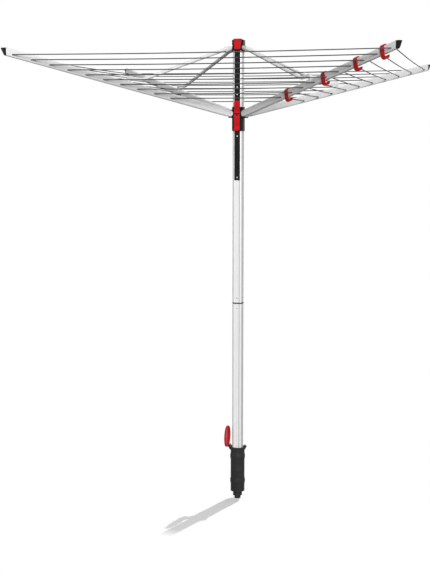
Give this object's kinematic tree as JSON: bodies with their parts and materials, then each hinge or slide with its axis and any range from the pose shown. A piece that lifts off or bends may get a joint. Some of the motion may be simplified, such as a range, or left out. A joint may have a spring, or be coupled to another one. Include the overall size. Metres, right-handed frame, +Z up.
{
  "type": "rotary clothesline",
  "caption": "Folding rotary clothesline with strung arms on struts, a sliding hub with a release lever, a square mast and a ground socket.",
  "frame": {"origin": "middle of the tip of the ground socket", "axes": "+Z up along the mast, -Y towards the side with the rack and the release lever, arms at 45, 135, 225 and 315 degrees from +X"},
  "size_m": [1.5702, 1.5702, 2.082],
  "materials": {
    "black_plastic": "satin moulded black plastic",
    "red_plastic": "glossy moulded red plastic",
    "aluminium": "satin anodised extrusion",
    "steel": "zinc-plated steel",
    "line_pvc": "dark grey coated line"
  },
  "bodies": {
    "socket": {"ground_socket": "black_plastic", "socket_bush": "black_plastic", "lid_hinge_pin": "steel"},
    "lid": {"socket_lid": "red_plastic"},
    "mast": {"mast_foot_plug": "black_plastic", "lower_mast_tube": "aluminium", "upper_mast_tube": "aluminium", "mast_joint_sleeve": "black_plastic", "mast_joint_ring": "black_plastic", "joint_rivets": "steel", "height_rack": "black_plastic", "rack_screws": "steel", "top_hub": "black_plastic", "top_cover_plate": "red_plastic", "strut_top_pins": "steel"},
    "hub": {"slide_hub": "black_plastic", "arm_hinge_pins": "steel", "latch_cover": "red_plastic", "lever_pin": "steel", "latch_spring": "steel", "clothesline": "line_pvc"},
    "lever": {"release_lever": "red_plastic", "latch_pawl": "steel"},
    "strut_body_1": {"strut_1": "aluminium"},
    "arm_body_1": {"arm_1": "aluminium", "arm_end_cap_1": "black_plastic", "strut_bracket_1": "aluminium", "strut_bracket_pins_1": "steel"},
    "strut_body_2": {"strut_2": "aluminium"},
    "arm_body_2": {"arm_2": "aluminium", "arm_end_cap_2": "black_plastic", "strut_bracket_2": "aluminium", "strut_bracket_pins_2": "steel", "line_stops": "steel"},
    "strut_body_3": {"strut_3": "aluminium"},
    "arm_body_3": {"arm_3": "aluminium", "arm_end_cap_3": "black_plastic", "strut_bracket_3": "aluminium", "strut_bracket_pins_3": "steel"},
    "strut_body_4": {"strut_4": "aluminium"},
    "arm_body_4": {"arm_4": "aluminium", "arm_end_cap_4": "black_plastic", "strut_bracket_4": "aluminium", "strut_bracket_pins_4": "steel", "hanger_hook_1": "red_plastic", "hanger_hook_2": "red_plastic", "hanger_hook_3": "red_plastic", "hanger_hook_4": "red_plastic"}
  },
  "joints": [
    {"name": "mast_turn", "type": "hinge", "parent": "socket", "child": "mast", "pos_m": [0, 0, 0.045], "axis": [0, 0, 1], "continuous": true},
    {"name": "fold", "type": "hinge", "parent": "mast", "child": "strut_body_1", "pos_m": [0.03323, 0.03323, 2.042], "axis": [-0.7071, 0.7071, 0], "range_deg": [0, 72], "deforming": ["clothesline"]},
    {"name": "arm_1_fold", "type": "hinge", "parent": "strut_body_1", "child": "arm_body_1", "pos_m": [0.38184, 0.38184, 1.89975], "axis": [-0.7071, 0.7071, 0], "range_deg": [-144, 0]},
    {"name": "hub_travel", "type": "hinge", "parent": "arm_body_1", "child": "hub", "pos_m": [0.03323, 0.03323, 1.7575], "axis": [-0.7071, 0.7071, 0], "range_deg": [0, 72]},
    {"name": "arm_2_fold", "type": "hinge", "parent": "hub", "child": "arm_body_2", "pos_m": [-0.03323, 0.03323, 1.7575], "axis": [-0.7071, -0.7071, 0], "range_deg": [-72, 0]},
    {"name": "arm_3_fold", "type": "hinge", "parent": "hub", "child": "arm_body_3", "pos_m": [-0.03323, -0.03323, 1.7575], "axis": [0.7071, -0.7071, 0], "range_deg": [-72, 0]},
    {"name": "arm_4_fold", "type": "hinge", "parent": "hub", "child": "arm_body_4", "pos_m": [0.03323, -0.03323, 1.7575], "axis": [0.7071, 0.7071, 0], "range_deg": [-72, 0]},
    {"name": "strut_2_fold", "type": "hinge", "parent": "mast", "child": "strut_body_2", "pos_m": [-0.03323, 0.03323, 2.042], "axis": [-0.7071, -0.7071, 0], "range_deg": [0, 72]},
    {"name": "strut_3_fold", "type": "hinge", "parent": "mast", "child": "strut_body_3", "pos_m": [-0.03323, -0.03323, 2.042], "axis": [0.7071, -0.7071, 0], "range_deg": [0, 72]},
    {"name": "strut_4_fold", "type": "hinge", "parent": "mast", "child": "strut_body_4", "pos_m": [0.03323, -0.03323, 2.042], "axis": [0.7071, 0.7071, 0], "range_deg": [0, 72]},
    {"name": "lever_swing", "type": "hinge", "parent": "hub", "child": "lever", "pos_m": [0, -0.0295, 1.7505], "axis": [-1, 0, 0], "range_deg": [0, 18], "stiffness_Nm_per_rad": 0.5, "springref_deg": -11.46, "deforming": ["latch_spring"]},
    {"name": "lid_hinge", "type": "hinge", "parent": "socket", "child": "lid", "pos_m": [-0.04, 0, 0.248], "axis": [0, 1, 0], "range_deg": [-30, 12]}
  ],
  "couplings": [
    {"joint": "arm_1_fold", "follows": "fold", "ratio": -2},
    {"joint": "hub_travel", "follows": "fold", "ratio": 1},
    {"joint": "arm_2_fold", "follows": "fold", "ratio": -1},
    {"joint": "arm_3_fold", "follows": "fold", "ratio": -1},
    {"joint": "arm_4_fold", "follows": "fold", "ratio": -1},
    {"joint": "strut_2_fold", "follows": "fold", "ratio": 1},
    {"joint": "strut_3_fold", "follows": "fold", "ratio": 1},
    {"joint": "strut_4_fold", "follows": "fold", "ratio": 1}
  ]
}
